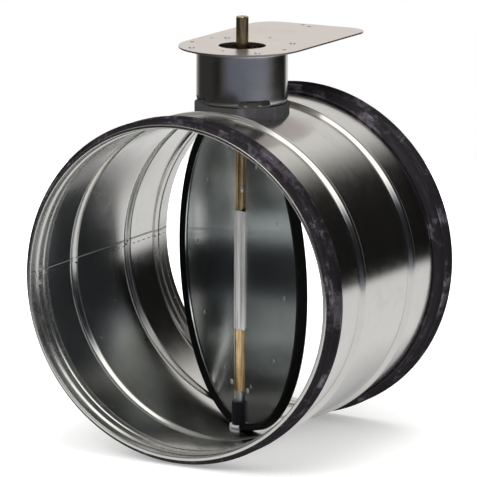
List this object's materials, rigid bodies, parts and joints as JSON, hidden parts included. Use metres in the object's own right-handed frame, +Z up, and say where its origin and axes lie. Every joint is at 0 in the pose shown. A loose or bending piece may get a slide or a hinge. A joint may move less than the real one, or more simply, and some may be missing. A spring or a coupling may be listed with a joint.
{
  "type": "round duct damper",
  "caption": "Round duct damper with rubber spigot gaskets, a pivoting sealed blade on a vertical shaft, and a stand-off neck with an actuator plate.",
  "frame": {"origin": "where the duct axis and the shaft axis cross, at the middle of the casing", "axes": "+Y along the duct, from the front end to the end under the plate's tail; +Z up along the shaft; +X to the right seen from the front"},
  "size_m": [0.3304, 0.2865, 0.4123],
  "materials": {
    "galvanised": "galvanised sheet",
    "rubber": "matt black",
    "steel": "zinc plated",
    "chromated": "yellow chromate",
    "bush": "light grey, matt",
    "sleeve": "black, matt"
  },
  "bodies": {
    "casing": {"casing": "galvanised", "front_duct_gasket": "rubber", "rear_duct_gasket": "rubber", "thrust_washer": "steel", "upper_bush": "bush", "upper_bush_nut": "steel", "upper_bearing_sleeve": "sleeve", "lower_bush": "bush", "lower_bush_nut": "steel", "lower_sealing_washer": "rubber", "lower_bearing_sleeve": "sleeve", "saddle_gasket": "rubber", "neck_cup": "galvanised", "neck_rivets": "steel", "actuator_plate": "galvanised", "plate_rivets": "steel"},
    "blade": {"front_blade_disc": "galvanised", "rear_blade_disc": "galvanised", "blade_seal": "rubber", "blade_rivets": "steel", "shaft": "chromated", "shaft_o_ring": "rubber", "retaining_ring": "steel"}
  },
  "joints": [
    {"name": "blade_turn", "type": "hinge", "parent": "casing", "child": "blade", "pos_m": [0, 0, 0], "axis": [0, 0, 1], "range_deg": [-49.8, 40.2]}
  ]
}
